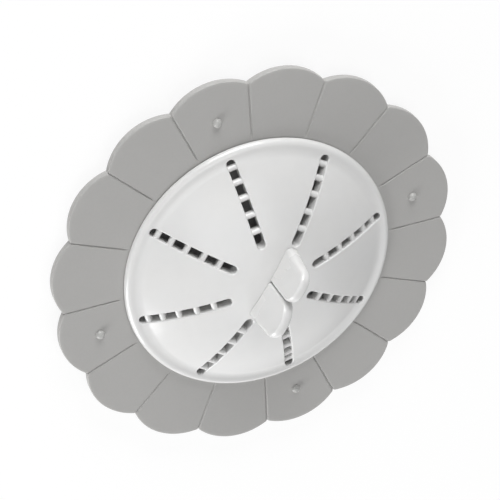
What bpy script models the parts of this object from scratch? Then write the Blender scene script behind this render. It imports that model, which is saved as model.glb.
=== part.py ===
"""Drain hair catcher: a slotted dome that lifts out of a soft petal flange standing on four suction cups.

Metres, +Z up. The origin is on the axis of the dome, at the surface that the suction cups stand on.
"""

import math

import bmesh
import bpy
from mathutils import Matrix, Vector

# Fits between pieces
RUNNING_GAP = 0.0003
CUT_OVERRUN = 0.001
MERGE_DISTANCE = 0.00001

# Petal flange
PETAL_COUNT = 16
PETAL_STEPS = 8
PETAL_ARC_RADIUS = 0.0195
PETAL_TIP_MARGIN = 0.0048
FLANGE_THICKNESS = 0.0025
FLANGE_CLEARANCE = 0.0040
PETAL_EDGE_ROUNDING = 0.0005
COLLAR_WALL = 0.0018
COLLAR_DROP = 0.0014
GROOVE_WIDTH = 0.0008
GROOVE_DEPTH = 0.0006
GROOVE_MARGIN = 0.0009

# Suction cups
CUP_COUNT = 4
CUP_RADIUS = 0.0085
CUP_TO_COLLAR = 0.0008
CUP_EDGE_THICKNESS = 0.0005
CUP_RIM_WIDTH = 0.0009
CUP_HOLLOW_DEPTH = 0.0020
CUP_NECK_RADIUS = 0.0026
CUP_NECK_HEIGHT = 0.0005
CUP_STEM_RADIUS = 0.0009
NUB_RADIUS = 0.00133
NUB_HEIGHT = 0.0012
CUP_SEGMENTS = 20
CUP_CURVE_STEPS = 5
NUB_CURVE_STEPS = 3

# Dome
LIP_RADIUS = 0.0464
LIP_WIDTH = 0.0026
LIP_THICKNESS = 0.0020
LIP_ROUNDING = 0.0012
CREASE_DEPTH = 0.00045
DOME_RISE = 0.0117
DOME_WALL = 0.0020
SKIRT_WALL = 0.0013
SKIRT_INSET = 0.0011
SKIRT_RECESS = 0.0003
DOME_SEGMENTS = 72
DOME_CURVE_STEPS = 8
LIP_CURVE_STEPS = 5
LIP_ARC_DEGREES = 135

# Slots and crossbars
SLOT_COUNT = 8
SLOT_WIDTH = 0.0028
SLOT_TO_GRIP = 0.00125
SLOT_RIM_MARGIN = 0.0002
SLOT_END_STEPS = 6
BAR_RADIUS = 0.00105
BAR_SINK = 0.0003
BAR_ROOTING = 0.0003
BAR_SIDES = 10
BAR_CENTRE_SHARES = (0.194, 0.389, 0.585, 0.760, 0.912)

# Grip
GRIP_DIRECTION_DEGREES = 135
TAB_HEIGHT = 0.0159
TAB_BASE_WIDTH = 0.0128
TAB_TOP_WIDTH = 0.0117
TAB_CORNER_RADIUS = 0.0048
TAB_EDGE_ROUNDING = 0.0019
TAB_SPLAY_DEGREES = 2.9
NOTCH_WIDTH = 0.0006
BLADE_THICKNESS = 0.0048
BRIDGE_HEIGHT = 0.0008
BRIDGE_THICKNESS = 0.0022
BRIDGE_RECESS = 0.0001
CORNER_STEPS = 4
EDGE_STEPS = 3
FOOT_STEPS = 4
PEG_RADIUS = 0.0015
PEG_ROOTING = 0.0020
PEG_HEAD_RADIUS = 0.0024
PEG_HEAD_HEIGHT = 0.0010
PEG_SEGMENTS = 16

# Washer under the crown
WASHER_MARGIN = 0.0022
WASHER_EDGE_THICKNESS = 0.0012
WASHER_CURVE_STEPS = 4
WASHER_SEGMENTS = 32

# Heights and radii that follow from the sizes above
FLANGE_TOP = FLANGE_CLEARANCE + FLANGE_THICKNESS
COLLAR_BOTTOM = FLANGE_CLEARANCE - COLLAR_DROP
SKIRT_RADIUS = LIP_RADIUS - SKIRT_INSET
COLLAR_BORE = SKIRT_RADIUS + RUNNING_GAP
COLLAR_RADIUS = COLLAR_BORE + COLLAR_WALL
CUP_CIRCLE_RADIUS = COLLAR_RADIUS + CUP_TO_COLLAR + CUP_RADIUS
TIP_RADIUS = CUP_CIRCLE_RADIUS + CUP_RADIUS + PETAL_TIP_MARGIN
SEAT_HEIGHT = FLANGE_TOP + RUNNING_GAP
CREASE_RADIUS = LIP_RADIUS - LIP_WIDTH
CREASE_HEIGHT = SEAT_HEIGHT + LIP_THICKNESS - CREASE_DEPTH
CROWN_HEIGHT = CREASE_HEIGHT + DOME_RISE
DOME_RADIUS = (CREASE_RADIUS**2 + DOME_RISE**2) / (2 * DOME_RISE)
DOME_CENTRE_HEIGHT = CROWN_HEIGHT - DOME_RADIUS
TAB_CENTRE = (NOTCH_WIDTH + TAB_BASE_WIDTH) / 2
SLOT_INNER_RADIUS = TAB_CENTRE + TAB_BASE_WIDTH / 2 + SLOT_TO_GRIP
WASHER_RADIUS = TAB_CENTRE + PEG_HEAD_RADIUS + WASHER_MARGIN

# Looks, as colour and roughness
WHITE_PLASTIC = ((0.80, 0.80, 0.79), 0.32)
GREY_RUBBER = ((0.38, 0.38, 0.37), 0.55)
CLEAR_RUBBER = ((0.62, 0.62, 0.60), 0.25)
SHARP_DEGREES = 35


def clear_scene():
    """Removes whatever the scene holds."""
    for obj in list(bpy.data.objects):
        bpy.data.objects.remove(obj, do_unlink=True)


def material(name, colour, roughness):
    """Makes a Principled material."""
    made = bpy.data.materials.new(name)
    made.use_nodes = True
    shader = made.node_tree.nodes["Principled BSDF"]
    shader.inputs["Base Color"].default_value = (*colour, 1)
    shader.inputs["Roughness"].default_value = roughness
    shader.inputs["Metallic"].default_value = 0
    return made


def add_object(name, mesh):
    """Links a new object that shows this mesh."""
    obj = bpy.data.objects.new(name, mesh)
    bpy.context.scene.collection.objects.link(obj)
    return obj


def object_from_bmesh(name, shape):
    """Writes a bmesh to a new object, with its faces pointing out."""
    bmesh.ops.recalc_face_normals(shape, faces=shape.faces)
    mesh = bpy.data.meshes.new(name)
    shape.to_mesh(mesh)
    shape.free()
    return add_object(name, mesh)


def turned(name, profile, segments):
    """Turns a profile of (radius, height) points, from the top down its outer side, about the Z axis."""
    mesh = bpy.data.meshes.new(name)
    points = [(radius, 0, height) for radius, height in profile]
    mesh.from_pydata(points, [(i, i + 1) for i in range(len(points) - 1)], [])
    obj = add_object(name, mesh)
    screw = obj.modifiers.new("turn", "SCREW")
    screw.steps = segments
    screw.render_steps = segments
    screw.use_merge_vertices = True
    screw.merge_threshold = MERGE_DISTANCE
    bake(obj)
    return obj


def prism(shape, outline, low, high):
    """Adds an upright prism over a plan outline to a bmesh."""
    base = [shape.verts.new((x, y, low)) for x, y in outline]
    sides = bmesh.ops.extrude_face_region(shape, geom=[shape.faces.new(base)])
    raised = [item for item in sides["geom"] if isinstance(item, bmesh.types.BMVert)]
    bmesh.ops.translate(shape, verts=raised, vec=(0, 0, high - low))


def combine(obj, other, operation):
    """Cuts a helper from an object, or joins it on, and removes the helper."""
    other.hide_render = True
    other.display_type = "WIRE"
    change = obj.modifiers.new(operation.lower(), "BOOLEAN")
    change.operation = operation
    change.solver = "EXACT"
    change.object = other
    bake(obj)
    bpy.data.objects.remove(other, do_unlink=True)


def bake(obj):
    """Turns an object's modifiers into its mesh."""
    bpy.context.view_layer.update()
    graph = bpy.context.evaluated_depsgraph_get()
    mesh = bpy.data.meshes.new_from_object(obj.evaluated_get(graph))
    obj.modifiers.clear()
    obj.data = mesh


def finish(obj, look):
    """Gives a finished piece its own material and smooth shading with crisp edges."""
    obj.data.name = obj.name
    obj.data.materials.clear()
    obj.data.materials.append(material(obj.name, *look))
    obj.data.shade_smooth()
    obj.data.set_sharp_from_angle(angle=math.radians(SHARP_DEGREES))
    return obj


def around(radius, angle):
    """A plan point at this radius and angle."""
    return Vector((radius * math.cos(angle), radius * math.sin(angle)))


def dome_height(radius, outward=0.0):
    """Height of the dome's outer sphere at a radius, or of one that lies further outward."""
    return DOME_CENTRE_HEIGHT + math.sqrt((DOME_RADIUS + outward) ** 2 - radius**2)


def spread(start, end, steps):
    """Evenly spaced values from start to end, both included."""
    return [start + (end - start) * step / steps for step in range(steps + 1)]


# Petal flange


def petal_radius(angle, inset):
    """Distance from the axis to the scalloped outline, drawn in by an inset."""
    pitch = 2 * math.pi / PETAL_COUNT
    offset = (angle + pitch / 2) % pitch - pitch / 2
    centre = TIP_RADIUS - PETAL_ARC_RADIUS
    return centre * math.cos(offset) + math.sqrt(
        (PETAL_ARC_RADIUS - inset) ** 2 - (centre * math.sin(offset)) ** 2
    )


def flange_section(angle):
    """Closed section of the flange at one angle, as (radius, height) points."""
    edge = petal_radius(angle, 0)
    half_rounding = PETAL_EDGE_ROUNDING * (1 - math.sqrt(1 / 2))
    return [
        (COLLAR_BORE, FLANGE_TOP),
        (petal_radius(angle, PETAL_EDGE_ROUNDING), FLANGE_TOP),
        (petal_radius(angle, half_rounding), FLANGE_TOP - half_rounding),
        (edge, FLANGE_TOP - PETAL_EDGE_ROUNDING),
        (edge, FLANGE_CLEARANCE),
        (COLLAR_RADIUS, FLANGE_CLEARANCE),
        (COLLAR_RADIUS, COLLAR_BOTTOM),
        (COLLAR_BORE, COLLAR_BOTTOM),
    ]


def flange_ring():
    """The petal ring with its collar, lofted through a section at each angle."""
    shape = bmesh.new()
    count = PETAL_COUNT * PETAL_STEPS
    rings = []
    for step in range(count):
        angle = 2 * math.pi * step / count
        section = flange_section(angle)
        rings.append([shape.verts.new((*around(r, angle), z)) for r, z in section])
    for here, there in zip(rings, rings[1:] + rings[:1]):
        for i in range(len(here)):
            j = (i + 1) % len(here)
            shape.faces.new((here[i], here[j], there[j], there[i]))
    return object_from_bmesh("petal_flange", shape)


def groove_cutter():
    """One bar for each groove, lying along the line between two petals."""
    shape = bmesh.new()
    start = LIP_RADIUS + GROOVE_MARGIN
    end = TIP_RADIUS
    half = GROOVE_WIDTH / 2
    outline = [(start, -half), (end, -half), (end, half), (start, half)]
    for groove in range(PETAL_COUNT):
        turn = Matrix.Rotation(2 * math.pi * (groove + 1 / 2) / PETAL_COUNT, 2)
        points = [turn @ Vector(point) for point in outline]
        prism(shape, points, FLANGE_TOP - GROOVE_DEPTH, FLANGE_TOP + CUT_OVERRUN)
    return object_from_bmesh("groove_cutter", shape)


def cup_angle(index):
    """Direction of one suction cup."""
    return 2 * math.pi * index / CUP_COUNT


def stem_hole_cutter():
    """One post for each suction cup's stem."""
    shape = bmesh.new()
    radius = CUP_STEM_RADIUS + RUNNING_GAP
    circle = [around(radius, 2 * math.pi * i / PEG_SEGMENTS) for i in range(PEG_SEGMENTS)]
    low = FLANGE_CLEARANCE - CUT_OVERRUN
    for index in range(CUP_COUNT):
        centre = around(CUP_CIRCLE_RADIUS, cup_angle(index))
        points = [centre + point for point in circle]
        prism(shape, points, low, FLANGE_TOP + CUT_OVERRUN)
    return object_from_bmesh("stem_hole_cutter", shape)


def make_flange():
    """The soft grey flange."""
    flange = flange_ring()
    combine(flange, groove_cutter(), "DIFFERENCE")
    combine(flange, stem_hole_cutter(), "DIFFERENCE")
    return finish(flange, GREY_RUBBER)


# Suction cups


def cup_profile():
    """Section of a suction cup, from the top of its nub down and back up inside its hollow."""
    nub_base = FLANGE_TOP + RUNNING_GAP
    shoulder = FLANGE_CLEARANCE - RUNNING_GAP
    neck_base = shoulder - CUP_NECK_HEIGHT
    quarter = math.pi / 2
    points = [
        (NUB_RADIUS * math.sin(turn), nub_base + NUB_HEIGHT * math.cos(turn))
        for turn in spread(0, quarter, NUB_CURVE_STEPS)
    ]
    points += [(CUP_STEM_RADIUS, nub_base), (CUP_STEM_RADIUS, shoulder), (CUP_NECK_RADIUS, shoulder)]
    for turn in spread(0, quarter, CUP_CURVE_STEPS):
        radius = CUP_NECK_RADIUS + (CUP_RADIUS - CUP_NECK_RADIUS) * math.sin(turn)
        height = CUP_EDGE_THICKNESS + (neck_base - CUP_EDGE_THICKNESS) * math.cos(turn)
        points.append((radius, height))
    points.append((CUP_RADIUS, 0))
    for turn in spread(quarter, 0, CUP_CURVE_STEPS):
        radius = (CUP_RADIUS - CUP_RIM_WIDTH) * math.sin(turn)
        points.append((radius, CUP_HOLLOW_DEPTH * math.cos(turn)))
    return points


def make_cups():
    """The four suction cups, which share one mesh."""
    first = finish(turned("suction_cup_1", cup_profile(), CUP_SEGMENTS), CLEAR_RUBBER)
    cups = [first]
    for index in range(1, CUP_COUNT):
        cups.append(add_object(f"suction_cup_{index + 1}", first.data))
    for index, cup in enumerate(cups):
        cup.location = (*around(CUP_CIRCLE_RADIUS, cup_angle(index)), 0)
    return cups


# Dome


def dome_profile():
    """Section of the dome, from the crown over the lip, down the skirt and back up inside."""
    skirt_bottom = COLLAR_BOTTOM + SKIRT_RECESS
    skirt_inside = SKIRT_RADIUS - SKIRT_WALL
    points = [(r, dome_height(r)) for r in spread(0, CREASE_RADIUS, DOME_CURVE_STEPS)]
    lip_centre = LIP_RADIUS - LIP_ROUNDING
    lip_height = SEAT_HEIGHT + LIP_THICKNESS - LIP_ROUNDING
    for turn in spread(math.radians(LIP_ARC_DEGREES), 0, LIP_CURVE_STEPS):
        lip = around(LIP_ROUNDING, turn)
        points.append((lip_centre + lip.x, lip_height + lip.y))
    points += [
        (LIP_RADIUS, SEAT_HEIGHT),
        (SKIRT_RADIUS, SEAT_HEIGHT),
        (SKIRT_RADIUS, skirt_bottom),
        (skirt_inside, skirt_bottom),
    ]
    points += [(r, dome_height(r, -DOME_WALL)) for r in spread(skirt_inside, 0, DOME_CURVE_STEPS)]
    return points


def slot_outline():
    """Plan of the slot that lies along +X, with half-round ends."""
    half = SLOT_WIDTH / 2
    inner = SLOT_INNER_RADIUS + half
    outer = CREASE_RADIUS - SLOT_RIM_MARGIN - half
    quarter = math.pi / 2
    points = []
    for turn in spread(-quarter, quarter, SLOT_END_STEPS):
        points.append(Vector((outer, 0)) + around(half, turn))
    for turn in spread(quarter, 3 * quarter, SLOT_END_STEPS):
        points.append(Vector((inner, 0)) + around(half, turn))
    return points


def slot_cutter():
    """The eight upright slots."""
    shape = bmesh.new()
    for slot in range(SLOT_COUNT):
        turn = Matrix.Rotation(2 * math.pi * slot / SLOT_COUNT, 2)
        points = [turn @ point for point in slot_outline()]
        prism(shape, points, COLLAR_BOTTOM, CROWN_HEIGHT + CUT_OVERRUN)
    return object_from_bmesh("slot_cutter", shape)


def crossbars():
    """The round bars that bridge each slot, their tops a little below the dome's surface."""
    shape = bmesh.new()
    start = SLOT_INNER_RADIUS
    length = CREASE_RADIUS - SLOT_RIM_MARGIN - start
    depth = DOME_RADIUS - BAR_SINK - BAR_RADIUS
    for slot in range(SLOT_COUNT):
        turn = Matrix.Rotation(2 * math.pi * slot / SLOT_COUNT, 4, "Z")
        for share in BAR_CENTRE_SHARES:
            tilt = math.asin((start + length * share) / DOME_RADIUS)
            centre = Vector((depth * math.sin(tilt), 0, DOME_CENTRE_HEIGHT + depth * math.cos(tilt)))
            lie = Matrix.Rotation(math.pi / 2, 4, "X")
            bmesh.ops.create_cone(
                shape,
                cap_ends=True,
                segments=BAR_SIDES,
                radius1=BAR_RADIUS,
                radius2=BAR_RADIUS,
                depth=SLOT_WIDTH + 2 * BAR_ROOTING,
                matrix=turn @ Matrix.Translation(centre) @ lie,
            )
    return object_from_bmesh("crossbars", shape)


def peg_places():
    """Plan points of the grip's two pegs."""
    direction = math.radians(GRIP_DIRECTION_DEGREES)
    return [around(TAB_CENTRE, direction), around(-TAB_CENTRE, direction)]


def peg_hole_cutter():
    """Two posts for the grip's pegs, long enough for the crown and the washer."""
    shape = bmesh.new()
    radius = PEG_RADIUS + RUNNING_GAP
    circle = [around(radius, 2 * math.pi * i / PEG_SEGMENTS) for i in range(PEG_SEGMENTS)]
    for centre in peg_places():
        points = [centre + point for point in circle]
        prism(shape, points, washer_bottom() - CUT_OVERRUN, CROWN_HEIGHT + CUT_OVERRUN)
    return object_from_bmesh("peg_hole_cutter", shape)


def make_dome():
    """The white slotted dome."""
    dome = turned("dome_grille", dome_profile(), DOME_SEGMENTS)
    combine(dome, slot_cutter(), "DIFFERENCE")
    combine(dome, crossbars(), "UNION")
    combine(dome, peg_hole_cutter(), "DIFFERENCE")
    return finish(dome, WHITE_PLASTIC)


# Washer under the crown


def washer_bottom():
    """Height of the washer's flat underside."""
    edge = dome_height(WASHER_RADIUS, -DOME_WALL - RUNNING_GAP)
    return edge - WASHER_EDGE_THICKNESS


def make_washer():
    """The washer, domed on top to lie under the crown and flat below."""
    radii = spread(0, WASHER_RADIUS, WASHER_CURVE_STEPS)
    points = [(r, dome_height(r, -DOME_WALL - RUNNING_GAP)) for r in radii]
    points += [(WASHER_RADIUS, washer_bottom()), (0, washer_bottom())]
    washer = turned("grip_washer", points, WASHER_SEGMENTS)
    combine(washer, peg_hole_cutter(), "DIFFERENCE")
    return finish(washer, WHITE_PLASTIC)


# Grip


def rounded_corner(corner, before, after, radius):
    """Points of an arc that rounds a corner between its neighbours."""
    back = (before - corner).normalized()
    ahead = (after - corner).normalized()
    half_angle = back.angle(ahead) / 2
    reach = radius / math.tan(half_angle)
    centre = corner + (back + ahead).normalized() * radius / math.sin(half_angle)
    start = corner + back * reach - centre
    end = corner + ahead * reach - centre
    sweep = start.angle_signed(end)
    return [centre + Matrix.Rotation(-turn, 2) @ start for turn in spread(0, sweep, CORNER_STEPS)]


def tab_outline(side):
    """Outline of one tab in the blade's plane, as (along, up) points, and how many make its foot.

    The side at the notch is upright, and the outer side draws in towards the top.
    """
    top = CROWN_HEIGHT + RUNNING_GAP + TAB_HEIGHT
    inner = side * NOTCH_WIDTH / 2
    base_ends = sorted((inner, inner + side * TAB_BASE_WIDTH))
    top_ends = sorted((inner, inner + side * TAB_TOP_WIDTH))
    foot = [Vector((along, dome_height(along, RUNNING_GAP))) for along in spread(*base_ends, FOOT_STEPS)]
    left = Vector((top_ends[0], top))
    right = Vector((top_ends[1], top))
    outline = foot + rounded_corner(right, foot[-1], left, TAB_CORNER_RADIUS)
    return outline + rounded_corner(left, right, foot[0], TAB_CORNER_RADIUS), len(foot)


def blade_slab(name, outline, thickness):
    """Stands an outline up as a slab, centred on the XZ plane."""
    shape = bmesh.new()
    prism(shape, outline, -thickness / 2, thickness / 2)
    bmesh.ops.rotate(shape, verts=shape.verts, matrix=Matrix.Rotation(math.pi / 2, 3, "X"))
    return object_from_bmesh(name, shape)


def make_tab(side):
    """One tab of the grip, rounded along every edge but those of its foot, and leaning to its own side."""
    outline, foot_count = tab_outline(side)
    tab = blade_slab("lift_grip", outline, BLADE_THICKNESS)
    low = max(point.y for point in outline[:foot_count]) + MERGE_DISTANCE
    shape = bmesh.new()
    shape.from_mesh(tab.data)
    rounded = [
        edge
        for edge in shape.edges
        if abs(edge.verts[0].co.y - edge.verts[1].co.y) < MERGE_DISTANCE
        and max(vert.co.z for vert in edge.verts) > low
    ]
    bmesh.ops.bevel(
        shape, geom=rounded, offset=TAB_EDGE_ROUNDING, segments=EDGE_STEPS, profile=0.5, affect="EDGES"
    )
    lean = Matrix.Shear("XY", 4, (0, side * math.tan(math.radians(TAB_SPLAY_DEGREES))))
    crown = Matrix.Translation((0, 0, CROWN_HEIGHT))
    shape.transform(crown @ lean @ crown.inverted())
    shape.to_mesh(tab.data)
    shape.free()
    return tab


def make_bridge():
    """The low bridge that joins the two tabs at the bottom of the notch."""
    lift = RUNNING_GAP + BRIDGE_RECESS
    places = spread(-TAB_CENTRE, TAB_CENTRE, FOOT_STEPS)
    foot = [(along, dome_height(along, lift)) for along in places]
    top = [(along, height + BRIDGE_HEIGHT) for along, height in reversed(foot)]
    return blade_slab("grip_bridge", foot + top, BRIDGE_THICKNESS)


def make_peg(centre):
    """One peg of the grip, with its formed head under the washer."""
    head_top = washer_bottom() - RUNNING_GAP
    head_bottom = head_top - PEG_HEAD_HEIGHT
    points = [
        (0, CROWN_HEIGHT + PEG_ROOTING),
        (PEG_RADIUS, CROWN_HEIGHT + PEG_ROOTING),
        (PEG_RADIUS, head_top),
        (PEG_HEAD_RADIUS, head_top),
        (PEG_HEAD_RADIUS, (head_top + head_bottom) / 2),
        (PEG_RADIUS, head_bottom),
        (0, head_bottom),
    ]
    peg = turned("grip_peg", points, PEG_SEGMENTS)
    peg.data.transform(Matrix.Translation((*centre, 0)))
    return peg


def make_grip():
    """The white grip: two tabs on one bridge, held by two pegs."""
    grip = make_tab(1)
    combine(grip, make_tab(-1), "UNION")
    combine(grip, make_bridge(), "UNION")
    grip.data.transform(Matrix.Rotation(math.radians(GRIP_DIRECTION_DEGREES), 4, "Z"))
    for centre in peg_places():
        combine(grip, make_peg(centre), "UNION")
    return finish(grip, WHITE_PLASTIC)


# The whole object


def gather(name, height, pieces):
    """Parents the pieces that move together to an empty on the axis."""
    empty = bpy.data.objects.new(name, None)
    empty.location = (0, 0, height)
    bpy.context.scene.collection.objects.link(empty)
    bpy.context.view_layer.update()
    for piece in pieces:
        piece.parent = empty
        piece.matrix_parent_inverse = empty.matrix_world.inverted()


def main():
    clear_scene()
    gather("base", 0, [make_flange(), *make_cups()])
    gather("strainer_lift", SEAT_HEIGHT, [make_dome(), make_washer(), make_grip()])


main()
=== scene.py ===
# %% [markdown]
# # A drain hair catcher
#
# A slotted white dome sits in the bore of a soft grey ring of sixteen petals. Four clear suction cups hold
# the ring to the floor of a tub, and a grip of two tabs lifts the dome off the ring to clear the hair away.
# The packed model already holds every piece at its real size. The steps below make each piece again with
# its fine shape and its finish, where the packed model says it is.

# %% Load the packed model
import math

import bmesh
import bpy
import numpy as np
from mathutils import Matrix, Vector
from mathutils.geometry import delaunay_2d_cdt


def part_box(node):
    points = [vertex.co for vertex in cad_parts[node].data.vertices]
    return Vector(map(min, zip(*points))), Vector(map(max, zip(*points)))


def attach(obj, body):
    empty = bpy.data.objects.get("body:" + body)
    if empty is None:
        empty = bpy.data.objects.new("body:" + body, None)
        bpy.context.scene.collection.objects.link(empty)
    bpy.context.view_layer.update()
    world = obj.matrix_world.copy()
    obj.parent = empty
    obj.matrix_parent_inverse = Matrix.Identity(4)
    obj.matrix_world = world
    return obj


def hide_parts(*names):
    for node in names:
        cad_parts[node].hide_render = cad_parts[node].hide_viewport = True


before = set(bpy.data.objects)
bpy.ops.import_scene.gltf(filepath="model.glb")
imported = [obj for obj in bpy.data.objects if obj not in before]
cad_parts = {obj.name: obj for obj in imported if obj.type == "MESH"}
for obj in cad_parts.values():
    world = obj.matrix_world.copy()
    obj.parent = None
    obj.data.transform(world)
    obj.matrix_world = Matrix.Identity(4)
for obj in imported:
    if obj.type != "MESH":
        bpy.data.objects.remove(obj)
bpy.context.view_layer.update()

# %% [markdown]
# ## Sizes
#
# The overall sizes are read off the packed model, so that every piece here fits it. The smaller ones, such
# as the roundings that a mould leaves on each edge, are named where they are first needed. All of them are
# in metres. Most roundings are well under a millimetre, and they matter more than any colour: a rounded
# edge catches a line of light, and a perfectly sharp one looks drawn.

# %% Read the main sizes
flange_low, flange_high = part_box("petal_flange")
dome_low, dome_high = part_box("dome_grille")
washer_low, washer_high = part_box("grip_washer")
grip_low, grip_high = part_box("lift_grip")
cup_low, cup_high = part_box("suction_cup_1")

TIP_RADIUS = flange_high.x
FLANGE_TOP = flange_high.z
COLLAR_BOTTOM = flange_low.z
LIP_RADIUS = dome_high.x
SKIRT_BOTTOM = dome_low.z
CROWN_HEIGHT = dome_high.z
WASHER_BOTTOM = washer_low.z
GRIP_TOP = grip_high.z
CUP_RADIUS = (cup_high.x - cup_low.x) / 2
CUP_CIRCLE_RADIUS = (cup_high.x + cup_low.x) / 2
NUB_TOP = cup_high.z
print("across the petals, mm:", round(2000 * TIP_RADIUS, 1), "dome, mm:", round(2000 * LIP_RADIUS, 1))

# %% Name the smaller sizes
MM = 0.001
PART_GAP = 0.3 * MM
PETAL_COUNT = 16
PETAL_ARC_RADIUS = 19.5 * MM
CUP_COUNT = 4
FLANGE_BOTTOM = 4.0 * MM
COLLAR_WALL = 1.8 * MM
SEAT_HEIGHT = FLANGE_TOP + PART_GAP
SKIRT_RADIUS = LIP_RADIUS - 1.1 * MM
SKIRT_WALL = 1.3 * MM
COLLAR_BORE = SKIRT_RADIUS + PART_GAP
LIP_THICKNESS = 2.0 * MM
LIP_ROUNDING = 1.9 * MM
DOME_WALL = 2.0 * MM
DOME_RADIUS = 84.1 * MM
DOME_CENTRE = CROWN_HEIGHT - DOME_RADIUS
print("height of the sphere's centre, mm:", round(1000 * DOME_CENTRE, 2))

# %% [markdown]
# ## Node trees as sums
#
# A finish is a node tree, and so is a shape that follows a rule. Both are long to read as lists of nodes
# and links, so two small classes let them be written as sums. `Bench` adds any node with one method.
# `Number` wraps one socket, and `2 * noise + 0.1` on it adds the Math nodes that work it out.

# %% Wrap a node tree
class Bench:
    """A node tree while it is being made."""

    def __init__(self, tree):
        self.tree = tree
        tree.nodes.clear()

    def add(self, kind, settings=None, sockets=None):
        """Adds one node: first its settings, then a value or a link for each socket that is named."""
        node = self.tree.nodes.new(kind)
        for name, value in (settings or {}).items():
            setattr(node, name, value)
        for name, value in (sockets or {}).items():
            source = value.socket if isinstance(value, Number) else value
            if isinstance(source, bpy.types.NodeSocket):
                self.tree.links.new(source, node.inputs[name])
            else:
                node.inputs[name].default_value = source
        return node

    def maths(self, operation, *values):
        """One Math node, as a Number."""
        node = self.add("ShaderNodeMath", {"operation": operation}, dict(enumerate(values)))
        return Number(self, node.outputs[0])

    def mix(self, share, first, second):
        """A colour between two colours."""
        node = self.add("ShaderNodeMix", {"data_type": "RGBA"}, {0: share, 6: first, 7: second})
        return node.outputs[2]

    def vector(self, **sides):
        """A vector from its X, Y and Z, each 0 unless it is named."""
        return self.add("ShaderNodeCombineXYZ", None, sides).outputs[0]

    def seen_rays(self):
        """1 for the rays of the camera, of gloss and of clear surfaces, and 0 for those that light things."""
        rays = self.add("ShaderNodeLightPath").outputs
        camera, glossy, clear = (
            Number(self, rays[name]) for name in ("Is Camera Ray", "Is Glossy Ray", "Is Transmission Ray")
        )
        return (camera + glossy + clear).clamped()


print("a bench has:", ", ".join(name for name in vars(Bench) if name[0] != "_"))

# %% Wrap a socket as a number
class Number:
    """One number in a node tree. Sums on it add Math nodes to the tree."""

    def __init__(self, bench, socket):
        self.bench = bench
        self.socket = socket

    def __add__(self, other):
        return self.bench.maths("ADD", self, other)

    def __radd__(self, other):
        return self.bench.maths("ADD", other, self)

    def __sub__(self, other):
        return self.bench.maths("SUBTRACT", self, other)

    def __rsub__(self, other):
        return self.bench.maths("SUBTRACT", other, self)

    def __mul__(self, other):
        return self.bench.maths("MULTIPLY", self, other)

    def __rmul__(self, other):
        return self.bench.maths("MULTIPLY", other, self)

    def __truediv__(self, other):
        return self.bench.maths("DIVIDE", self, other)

    def __rtruediv__(self, other):
        return self.bench.maths("DIVIDE", other, self)

    def __pow__(self, other):
        return self.bench.maths("POWER", self, other)

    def clamped(self):
        """The number kept between 0 and 1."""
        return self.bench.maths("MINIMUM", self.bench.maths("MAXIMUM", self, 0.0), 1.0)

    def eased(self):
        """A 0 to 1 number that leaves 0 and meets 1 softly."""
        kept = self.clamped()
        return kept * kept * (3 - 2 * kept)


print("node helpers ready")

# %% [markdown]
# ## Three finishes
#
# The real object has three materials: satin white moulded plastic, a matt grey soft rubber and clear
# vinyl. A moulded surface is never one flat colour. It has a fine grain from the steel of the mould,
# slow changes of gloss where the plastic cooled faster or slower, and faint clouding where it has been
# wiped. All of that is noise at three or four scales, read in Object coordinates, which are metres here, so
# a noise scale of 100 has features about 10 mm wide.

# %% Start a finish
def new_finish(name):
    """An empty material, its bench and its Object coordinates."""
    made = bpy.data.materials.new(name)
    made.use_nodes = True
    bench = Bench(made.node_tree)
    place = bench.add("ShaderNodeTexCoord").outputs["Object"]
    return made, bench, place


def noise(bench, place, scale, detail=2.0, roughness=0.5):
    """Smooth noise, about 0.3 to 0.7, with features of 1 / scale metres."""
    sockets = {"Vector": place, "Scale": scale, "Detail": detail, "Roughness": roughness}
    return Number(bench, bench.add("ShaderNodeTexNoise", None, sockets).outputs[0])


def attribute(bench, name):
    """A number stored on the mesh's points."""
    return Number(bench, bench.add("ShaderNodeAttribute", {"attribute_name": name}).outputs["Fac"])


def finish_surface(bench, constants, varying, bump):
    """The Principled shader, with its fixed values, what varies over the surface, and its bump."""
    height, distance = bump
    relief = bench.add("ShaderNodeBump", None, {"Distance": distance, "Height": height})
    sockets = {**constants, **varying, "Normal": relief.outputs[0]}
    shader = bench.add("ShaderNodeBsdfPrincipled", None, sockets)
    bench.add("ShaderNodeOutputMaterial", None, {"Surface": shader.outputs[0]})


print("finish helpers ready")

# %% [markdown]
# The white plastic of the dome and the grip is satin. Light spreads a little inside it, which a small
# subsurface weight shows on the thin edges. Its base colour drifts between a cool and a warm white by
# about one part in fifty. The points of the mesh carry a number called painted_shade, which is 0 in the open
# and nears 1 deep in a slot: it darkens the white there as painted shade, and makes it slightly rougher.

# %% White plastic
COOL_WHITE = (0.735, 0.737, 0.736, 1)
WARM_WHITE = (0.752, 0.750, 0.742, 1)
FLECK_WHITE = (0.715, 0.714, 0.708, 1)
PAINTED_SHADE_WHITE = (0.62, 0.615, 0.60, 1)


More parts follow.
